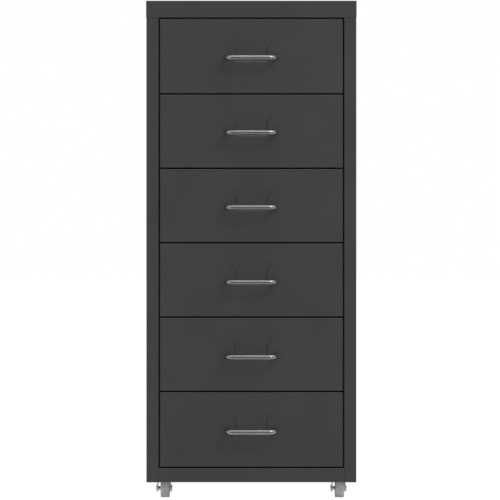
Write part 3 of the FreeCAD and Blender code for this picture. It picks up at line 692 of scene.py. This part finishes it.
def stand(box: Box, along: Along) -> Matrix:
    """Lay a pattern's upright axis along the middle of a box, with its foot at the low end.

    Args:
        box: The box's lowest and highest corners.
        along: The direction that the pattern takes.

    Returns:
        The turn and the move that bring the pattern there.
    """
    foot = (box[0] + box[1]) / 2
    foot[along.value] = box[0][along.value]
    turns = {
        Along.ACROSS: Matrix.Rotation(math.pi / 2, 4, "Y"),
        Along.DEEP: Matrix.Rotation(-math.pi / 2, 4, "X"),
        Along.UP: Matrix.Identity(4),
    }
    return Matrix.Translation(foot) @ turns[along]


def repeat(pattern: bpy.types.Object, name: str, turns: list[Matrix]) -> bpy.types.Object:
    """Copy a pattern to several places and join the copies into one piece.

    Args:
        pattern: The pattern, built round the origin.
        name: The piece's name.
        turns: Where each copy goes.

    Returns:
        The joined piece, with its origin at the frame's.
    """
    bpy.ops.object.select_all(action="DESELECT")
    for turn in turns:
        piece = pattern.copy()
        piece.data = pattern.data.copy()
        piece.data.transform(turn)
        bpy.context.scene.collection.objects.link(piece)
        piece.select_set(True)
        bpy.context.view_layer.objects.active = piece
    if len(turns) > 1:
        bpy.ops.object.join()
    piece = bpy.context.view_layer.objects.active
    piece.name = name
    piece.data.name = name
    return piece


@dataclass
class Pin:
    """A turned pin that stands on the origin, made of round stages from its foot to its top."""

    name: str
    stages: list[tuple[float, float]]
    foot_round: float
    top_round: float
    foot_dimple: float = 0.0
    top_dimple: float = 0.0
    dimple_depth: float = 0.45 * MM
    dimple_slope: float = 0.3
    round_steps: int = 4
    sides: int = 32

    def build(self) -> bpy.types.Object:
        """Draw the stages out of one blank, round the ends and punch the dimples.

        Returns:
            The pin.
        """
        radius, level = self.stages[0]
        pin = round_blank(self.name, radius, level, self.sides)
        for wide, tall in self.stages[1:]:
            choose(pin, "FACE", is_end(level, Facing.UP))
            bpy.ops.mesh.extrude_region_move()
            share = wide / radius
            bpy.ops.transform.resize(value=(share, share, 1), center_override=(0, 0, level))
            bpy.ops.mesh.extrude_region_move(TRANSFORM_OT_translate={"value": (0, 0, tall)})
            radius = wide
            level += tall
        self.end(pin, 0, self.stages[0][0], self.foot_round, self.foot_dimple, Facing.DOWN)
        self.end(pin, level, radius, self.top_round, self.top_dimple, Facing.UP)
        bpy.ops.object.mode_set(mode="OBJECT")
        close_blank(pin)
        return pin

    def end(
        self,
        pin: bpy.types.Object,
        level: float,
        radius: float,
        rounding: float,
        dimple: float,
        facing: Facing,
    ) -> None:
        """Round one end's edge, and punch its dimple if it has one.

        Args:
            pin: The pin.
            level: The end's height.
            radius: The end's radius.
            rounding: How far the rounding reaches.
            dimple: The dimple's radius, or 0 where there is none.
            facing: Which way the end looks.
        """
        choose(pin, "EDGE", is_rim(level, radius))
        bpy.ops.mesh.bevel(offset=rounding, segments=self.round_steps, profile=ROUND_PROFILE)
        if dimple:
            choose(pin, "FACE", is_end(level, facing))
            bpy.ops.mesh.inset(thickness=radius - rounding - dimple)
            bpy.ops.mesh.inset(thickness=dimple * self.dimple_slope, depth=-self.dimple_depth)


@dataclass
class CrossRecess:
    """The cross pressed into a screw's head for the driver."""

    reach: float
    width: float
    depth: float
    narrowing: float = 0.5

    def cut(self, screw: bpy.types.Object, level: float, facing: Facing) -> None:
        """Cut the two arms.

        Args:
            screw: The screw.
            level: The height of its head's outer face.
            facing: Which way the head looks.
        """
        inner = Facing.DOWN if facing is Facing.UP else Facing.UP
        for quarter in (0, math.pi / 2):
            bpy.ops.object.select_all(action="DESELECT")
            bpy.ops.mesh.primitive_cube_add(
                size=1,
                location=(0, 0, level),
                rotation=(0, 0, quarter),
                scale=(2 * self.reach, self.width, 2 * self.depth),
            )
            arm = open_blank("cross_arm")
            choose(arm, "FACE", is_end(level + inner.value * self.depth, inner))
            bpy.ops.transform.resize(
                value=(self.narrowing, self.narrowing, 1), center_override=(0, 0, level)
            )
            bpy.ops.object.mode_set(mode="OBJECT")
            carve(screw, arm)
        close_blank(screw)


# The casing and the drawers


@dataclass
class BackRivets:
    """The blind rivets that hold the back."""

    radius: float = 2.0 * MM
    foot_round: float = 0.2 * MM
    head_radius: float = 3.6 * MM
    head: float = 0.9 * MM
    dome: float = 0.8
    pull_hole: float = 1.1 * MM

    def build(self, wardrobe: Wardrobe) -> None:
        """Set a domed rivet with its pulled stem at every rivet's place.

        Args:
            wardrobe: The finishes.
        """
        boxes = solid_boxes("back_rivets")
        length = boxes[0][1].y - boxes[0][0].y
        pattern = Pin(
            "rivet",
            [(self.radius, length - self.head), (self.head_radius, self.head)],
            foot_round=self.foot_round,
            top_round=self.dome * self.head,
            top_dimple=self.pull_hole,
        ).build()
        rivets = repeat(pattern, "rivets_domed", [stand(box, Along.DEEP) for box in boxes])
        bpy.data.objects.remove(pattern)
        wardrobe.fit(rivets, "back_rivets", "cabinet", Slot.PAINT)


@dataclass
class HandleScrews:
    """The pan-head screws behind each handle."""

    drawers: int = 6
    radius: float = 1.95 * MM
    tip_round: float = 0.35 * MM
    head_radius: float = 4.0 * MM
    head: float = 2.4 * MM
    crown: float = 0.5
    recess: CrossRecess = field(
        default_factory=lambda: CrossRecess(reach=2.3 * MM, width=0.9 * MM, depth=1.3 * MM)
    )

    def build(self, wardrobe: Wardrobe) -> None:
        """Put two screws in every drawer, with their heads inside the tray.

        Args:
            wardrobe: The finishes.
        """
        low, high = solid_boxes("handle_screws_1")[0]
        length = high.y - low.y
        pattern = Pin(
            "handle_screw",
            [(self.radius, length - self.head), (self.head_radius, self.head)],
            foot_round=self.tip_round,
            top_round=self.crown * self.head,
        ).build()
        self.recess.cut(pattern, length, Facing.UP)
        for count in range(1, self.drawers + 1):
            node = f"handle_screws_{count}"
            turns = [stand(box, Along.DEEP) for box in solid_boxes(node)]
            pair = repeat(pattern, f"handle_screw_pair_{count}", turns)
            wardrobe.fit(pair, node, f"drawer_{count}", Slot.FIXINGS)
        bpy.data.objects.remove(pattern)


# The castors


@dataclass
class CastorWheel:
    """A moulded wheel with a rim, a hub and short ribs, pressed a little flat where it stands."""

    radius: float = 12.6 * MM
    standing: float = 12.5 * MM
    width: float = 12.2 * MM
    edge: float = 1.0 * MM
    edge_steps: int = 5
    rim: float = 2.7 * MM
    recess: float = 1.2 * MM
    draft: float = 0.3 * MM
    hub: float = 4.9 * MM
    bore: float = 2.58 * MM
    sides: int = 96
    ribs: int = 8
    rib_share: float = 0.75
    line: float = 0.3 * MM
    line_depth: float = 0.12 * MM

    def build(self) -> bpy.types.Object:
        """Mould the wheel round the upright axis.

        Returns:
            The wheel.
        """
        wheel = round_blank("wheel", self.radius, self.width, self.sides)
        self.press_line(wheel)
        for level, facing in ((0.0, Facing.DOWN), (self.width, Facing.UP)):
            choose(wheel, "EDGE", is_rim(level, self.radius))
            bpy.ops.mesh.bevel(
                offset=self.edge, segments=self.edge_steps, profile=ROUND_PROFILE
            )
            self.hollow(wheel, level, facing)
        self.bore_through(wheel)
        choose(wheel, "VERT", lambda corner: corner.co.x > self.standing)
        bpy.ops.transform.resize(value=(0, 1, 1), center_override=(self.standing, 0, 0))
        bpy.ops.object.mode_set(mode="OBJECT")
        close_blank(wheel)
        return wheel

    def press_line(self, wheel: bpy.types.Object) -> None:
        """Press the mould's parting line round the tread, but not where the wheel stands.

        Args:
            wheel: The wheel.
        """
        middle = self.width / 2
        for level in (middle - self.line / 2, middle + self.line / 2):
            bpy.ops.mesh.select_all(action="SELECT")
            bpy.ops.mesh.bisect(plane_co=(0, 0, level), plane_no=(0, 0, 1))

        def is_line(face: bmesh.types.BMFace) -> bool:
            """Tell whether a face is on the line and clear of the flat."""
            place = face.calc_center_median()
            return abs(place.z - middle) < NEAR and place.x < self.standing

        choose(wheel, "FACE", is_line)
        share = 1 - self.line_depth / self.radius
        bpy.ops.mesh.extrude_region_move()
        bpy.ops.transform.resize(value=(share, share, 1), center_override=(0, 0, middle))

    def hollow(self, wheel: bpy.types.Object, level: float, facing: Facing) -> None:
        """Sink the ring between rim and hub on one side, and raise its ribs.

        Args:
            wheel: The wheel.
            level: The height of that side.
            facing: Which way it looks.
        """
        choose(wheel, "FACE", is_end(level, facing))
        bpy.ops.mesh.inset(thickness=self.rim - self.edge)
        bpy.ops.mesh.inset(thickness=self.draft, depth=-self.recess)
        floor_radius = self.radius - self.rim - self.draft
        bpy.ops.mesh.inset(thickness=floor_radius - self.hub)
        bpy.ops.mesh.inset(thickness=self.draft, depth=self.recess)
        bpy.ops.mesh.inset(thickness=self.hub - self.draft - self.bore)
        at_floor = is_end(level - facing.value * self.recess, facing)
        step = 2 * math.pi / self.sides

        def is_rib(face: bmesh.types.BMFace) -> bool:
            """Tell whether a face of the sunk ring becomes a rib.

            Args:
                face: The face.

            Returns:
                Whether it does.
            """
            middle = face.calc_center_median()
            turn = round(math.atan2(middle.y, middle.x) / step - 0.5)
            return at_floor(face) and turn % (self.sides // self.ribs) == 0

        choose(wheel, "FACE", is_rib)
        rise = facing.value * self.recess * self.rib_share
        bpy.ops.mesh.extrude_region_move(TRANSFORM_OT_translate={"value": (0, 0, rise)})

    def bore_through(self, wheel: bpy.types.Object) -> None:
        """Open the bore from one side to the other.

        Args:
            wheel: The wheel.
        """

        def is_plug(face: bmesh.types.BMFace) -> bool:
            """Tell whether a face closes one end of the bore."""
            centred = face.calc_center_median().to_2d().length < NEAR
            return len(face.verts) == self.sides and centred

        choose(wheel, "FACE", is_plug)
        bpy.ops.mesh.bridge_edge_loops()


@dataclass
class Castors:
    """The four castors' wheels, pins, screws and nuts."""

    names: tuple[str, ...] = ("front_left", "front_right", "rear_left", "rear_right")
    axle_radius: float = 2.5 * MM
    axle_head_radius: float = 4.5 * MM
    axle_head: float = 1.5 * MM
    axle_crown: float = 0.75
    pin_dimple: float = 1.3 * MM
    king_radius: float = 3.0 * MM
    king_foot_radius: float = 4.2 * MM
    king_foot: float = 1.2 * MM
    king_top_radius: float = 4.5 * MM
    king_top: float = 0.9 * MM
    king_crown: float = 0.7
    screw_radius: float = 1.95 * MM
    screw_tip_round: float = 0.35 * MM
    screw_head_radius: float = 3.6 * MM
    screw_head: float = 2.2 * MM
    screw_crown: float = 0.5
    nut_radius: float = 4.0 * MM
    nut_sides: int = 6
    nut_chamfer: float = 0.5 * MM
    nut_clear: float = 0.05 * MM
    nut_smooth_below: float = 25.0
    turning_sides: int = 48
    drill_round: float = 0.1 * MM
    drill_overrun: float = 1.0 * MM
    recess: CrossRecess = field(
        default_factory=lambda: CrossRecess(reach=2.1 * MM, width=0.85 * MM, depth=1.2 * MM)
    )

    def build(self, wardrobe: Wardrobe) -> None:
        """Make the wheels, axles, king pins, screws and nuts.

        Args:
            wardrobe: The finishes.
        """
        self.set_wheels(wardrobe)
        self.set_axles(wardrobe)
        self.set_king_pins(wardrobe)
        self.set_screws(wardrobe)
        self.set_nuts(wardrobe)

    def set_wheels(self, wardrobe: Wardrobe) -> None:
        """Put a wheel in each fork, round its axle.

        Args:
            wardrobe: The finishes.
        """
        pattern = CastorWheel().build()
        for name in self.names:
            node = f"castor_wheel_{name}"
            place = stand(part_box(f"castor_axle_{name}"), Along.ACROSS)
            place[0][3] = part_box(node)[0][0]
            wheel = repeat(pattern, f"wheel_moulded_{name}", [place])
            wardrobe.fit(wheel, node, f"roller_{name}", Slot.WHEEL)
        bpy.data.objects.remove(pattern)

    def set_axles(self, wardrobe: Wardrobe) -> None:
        """Rivet an axle through each fork.

        Args:
            wardrobe: The finishes.
        """
        low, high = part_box("castor_axle_front_left")
        middle = high[0] - low[0] - 2 * self.axle_head
        head = (self.axle_head_radius, self.axle_head)
        pattern = Pin(
            "axle",
            [head, (self.axle_radius, middle), head],
            foot_round=self.axle_crown * self.axle_head,
            top_round=self.axle_crown * self.axle_head,
            foot_dimple=self.pin_dimple,
            top_dimple=self.pin_dimple,
        ).build()
        for name in self.names:
            node = f"castor_axle_{name}"
            axle = repeat(pattern, f"axle_riveted_{name}", [stand(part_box(node), Along.ACROSS)])
            wardrobe.fit(axle, node, f"swivel_{name}", Slot.PLATE)
        bpy.data.objects.remove(pattern)

    def set_king_pins(self, wardrobe: Wardrobe) -> None:
        """Rivet a king pin through each fork's crown and its plate.

        Args:
            wardrobe: The finishes.
        """
        boxes = solid_boxes("castor_king_pins")
        length = boxes[0][1].z - boxes[0][0].z
        pattern = Pin(
            "king_pin",
            [
                (self.king_foot_radius, self.king_foot),
                (self.king_radius, length - self.king_foot - self.king_top),
                (self.king_top_radius, self.king_top),
            ],
            foot_round=self.king_crown * self.king_foot,
            top_round=self.king_crown * self.king_top,
            foot_dimple=self.pin_dimple,
            top_dimple=self.pin_dimple,
        ).build()
        pins = repeat(pattern, "king_pins_riveted", [stand(box, Along.UP) for box in boxes])
        bpy.data.objects.remove(pattern)
        wardrobe.fit(pins, "castor_king_pins", "cabinet", Slot.PLATE)

    def set_screws(self, wardrobe: Wardrobe) -> None:
        """Put the screws through the plates, with their heads below.

        Args:
            wardrobe: The finishes.
        """
        boxes = solid_boxes("castor_screws")
        length = boxes[0][1].z - boxes[0][0].z
        shank = length - self.screw_head
        pattern = Pin(
            "castor_screw",
            [(self.screw_head_radius, self.screw_head), (self.screw_radius, shank)],
            foot_round=self.screw_crown * self.screw_head,
            top_round=self.screw_tip_round,
        ).build()
        self.recess.cut(pattern, 0.0, Facing.DOWN)
        screws = repeat(pattern, "castor_screws_cross", [stand(box, Along.UP) for box in boxes])
        bpy.data.objects.remove(pattern)
        wardrobe.fit(screws, "castor_screws", "cabinet", Slot.FIXINGS)

    def set_nuts(self, wardrobe: Wardrobe) -> None:
        """Turn a chamfered nut onto each castor screw.

        Args:
            wardrobe: The finishes.
        """
        boxes = solid_boxes("castor_nuts")
        height = boxes[0][1].z - boxes[0][0].z
        pattern = round_blank("nut", self.nut_radius, height, self.nut_sides)
        bpy.ops.object.mode_set(mode="OBJECT")
        tool = round_blank("nut_turning", self.nut_radius, height, self.turning_sides)
        for level in (0, height):
            choose(tool, "EDGE", is_rim(level, self.nut_radius))
            bpy.ops.mesh.bevel(offset=self.nut_chamfer, segments=1)
        bpy.ops.object.mode_set(mode="OBJECT")
        carve(pattern, tool, "INTERSECT")
        drill = Pin(
            "nut_hole",
            [(self.screw_radius + self.nut_clear, height + 2 * self.drill_overrun)],
            foot_round=self.drill_round,
            top_round=self.drill_round,
        ).build()
        drill.data.transform(Matrix.Translation((0, 0, -self.drill_overrun)))
        carve(pattern, drill)
        close_blank(pattern, self.nut_smooth_below)
        nuts = repeat(pattern, "castor_nuts_chamfered", [stand(box, Along.UP) for box in boxes])
        bpy.data.objects.remove(pattern)
        wardrobe.fit(nuts, "castor_nuts", "cabinet", Slot.FIXINGS)


# The room


@dataclass
class Lamp:
    """A square soft box that looks at the cabinet."""

    name: str
    place: Place
    aim: Place
    size: tuple[float, float]
    power: float

    def hang(self) -> None:
        """Make the lamp and turn it to its aim."""
        data = bpy.data.lights.new(self.name, "AREA")
        data.shape = "RECTANGLE"
        data.size, data.size_y = self.size
        data.energy = self.power
        lamp = bpy.data.objects.new(self.name, data)
        bpy.context.scene.collection.objects.link(lamp)
        lamp.location = self.place
        look = Vector(self.aim) - Vector(self.place)
        lamp.rotation_euler = look.to_track_quat("-Z", "Y").to_euler()


@dataclass
class Card:
    """A grey card that only shows in gloss and bright metal, as a photographer's flag does."""

    name: str
    place: Place
    turn: Place
    size: tuple[float, float]
    shade: float

    def hold(self) -> None:
        """Make the card and hide it from all but reflections."""
        bpy.ops.object.select_all(action="DESELECT")
        bpy.ops.mesh.primitive_plane_add(size=1, location=self.place, rotation=self.turn)
        card = bpy.context.object
        card.name = self.name
        card.scale = (*self.size, 1)
        sheet = ShaderSheet(f"{self.name}_grey")
        grey = sheet.add("ShaderNodeEmission", Color=WHITE, Strength=self.shade)
        sheet.tree.links.new(grey.outputs[0], sheet.output.inputs["Surface"])
        dress(card, sheet.material)
        card.visible_camera = False
        card.visible_diffuse = False
        card.visible_shadow = False
        card.visible_transmission = False


@dataclass
class Studio:
    """The pale floor, the soft light, the flags and the camera."""

    camera_place: Place = (-0.0018, -3.6911, 0.3336)
    lens: float = 189.6
    sensor: float = 36.0
    world_light: float = 0.62
    floor_half: float = 30.0
    floor_pale: Colour = (0.9, 0.9, 0.9)
    floor_glow: float = 1.17
    floor_glow_share: float = 0.86
    lamps: list[Lamp] = field(
        default_factory=lambda: [
            Lamp(
                "key",
                place=(1.35, -2.35, 2.05),
                aim=(0, -0.19, 0.33),
                size=(0.9, 0.9),
                power=12.0,
            ),
            Lamp(
                "top",
                place=(1.11, -0.9, 3.0),
                aim=(1.11, -0.1, 0.3),
                size=(2.2, 1.2),
                power=10.0,
            ),
        ]
    )
    cards: list[Card] = field(
        default_factory=lambda: [
            Card(
                "front_card",
                place=(0, -6.0, 3.2),
                turn=(math.pi / 2, 0, 0),
                size=(14.0, 7.4),
                shade=0.10,
            ),
            Card(
                "floor_card",
                place=(0, -3.12, 0.002),
                turn=(0, 0, 0),
                size=(14.0, 5.76),
                shade=0.33,
            ),
            Card(
                "left_card",
                place=(-4.0, -2.0, 1.5),
                turn=(0, math.pi / 2, 0),
                size=(4.0, 6.0),
                shade=0.48,
            ),
            Card(
                "right_card",
                place=(4.0, -2.0, 1.5),
                turn=(0, math.pi / 2, 0),
                size=(4.0, 6.0),
                shade=0.42,
            ),
        ]
    )

    def place_camera(self) -> None:
        """Look straight at the front, level with its middle."""
        data = bpy.data.cameras.new("camera")
        data.lens = self.lens
        data.sensor_width = self.sensor
        camera = bpy.data.objects.new("camera", data)
        bpy.context.scene.collection.objects.link(camera)
        camera.location = self.camera_place
        camera.rotation_euler = (math.pi / 2, 0, 0)
        bpy.context.scene.camera = camera

    @staticmethod
    def seen_share(tree: bpy.types.NodeTree) -> bpy.types.NodeSocket:
        """Add up the rays that see the background itself.

        Args:
            tree: The node tree to work in.

        Returns:
            1 for camera, glossy and transmission rays, or else 0.
        """
        path = tree.nodes.new("ShaderNodeLightPath")
        share = path.outputs["Is Camera Ray"]
        for name in ("Is Glossy Ray", "Is Transmission Ray"):
            most = tree.nodes.new("ShaderNodeMath")
            most.operation = "MAXIMUM"
            tree.links.new(share, most.inputs[0])
            tree.links.new(path.outputs[name], most.inputs[1])
            share = most.outputs[0]
        return share

    def light_world(self) -> None:
        """Make the surroundings white to look at and plain grey as light."""
        world = bpy.data.worlds.new("room")
        bpy.context.scene.world = world
        world.use_nodes = True
        tree = world.node_tree
        tree.nodes.clear()
        output = tree.nodes.new("ShaderNodeOutputWorld")
        back = tree.nodes.new("ShaderNodeBackground")
        back.inputs["Color"].default_value = (*WHITE, 1)
        strength = tree.nodes.new("ShaderNodeMapRange")
        strength.inputs["To Min"].default_value = self.world_light
        strength.inputs["To Max"].default_value = 1.0
        tree.links.new(self.seen_share(tree), strength.inputs["Value"])
        tree.links.new(strength.outputs[0], back.inputs["Strength"])
        tree.links.new(back.outputs[0], output.inputs["Surface"])

    def lay_floor(self) -> None:
        """Lay a floor that looks white and still takes the cabinet's shadow."""
        bpy.ops.object.select_all(action="DESELECT")
        bpy.ops.mesh.primitive_plane_add(size=2 * self.floor_half, location=(0, 0, 0))
        floor = bpy.context.object
        floor.name = "floor"
        sheet = ShaderSheet("floor_paper")
        pale = sheet.add("ShaderNodeBsdfDiffuse", Color=self.floor_pale)
        glow = sheet.add("ShaderNodeEmission", Color=WHITE, Strength=self.floor_glow)
        glowing = sheet.add("ShaderNodeMixShader", Fac=self.floor_glow_share)
        sheet.tree.links.new(pale.outputs[0], glowing.inputs[1])
        sheet.tree.links.new(glow.outputs[0], glowing.inputs[2])
        seen = sheet.tree.nodes.new("ShaderNodeMixShader")
        sheet.tree.links.new(self.seen_share(sheet.tree), seen.inputs[0])
        sheet.tree.links.new(pale.outputs[0], seen.inputs[1])
        sheet.tree.links.new(glowing.outputs[0], seen.inputs[2])
        sheet.tree.links.new(seen.outputs[0], sheet.output.inputs["Surface"])
        dress(floor, sheet.material)

    def set_up(self) -> None:
        """Make the whole room."""
        bpy.context.scene.view_settings.view_transform = "Standard"
        self.place_camera()
        self.light_world()
        self.lay_floor()
        for lamp in self.lamps:
            lamp.hang()
        for card in self.cards:
            card.hold()


def main() -> None:
    """Build the room and the cabinet's looks, in order."""
    logging.basicConfig(level=logging.INFO, format="%(name)s: %(message)s")
    Studio().set_up()
    wardrobe = Wardrobe()
    wardrobe.fill()
    wardrobe.dress_nodes()
    BackRivets().build(wardrobe)
    HandleScrews().build(wardrobe)
    Castors().build(wardrobe)


if __name__ == "__main__":
    main()
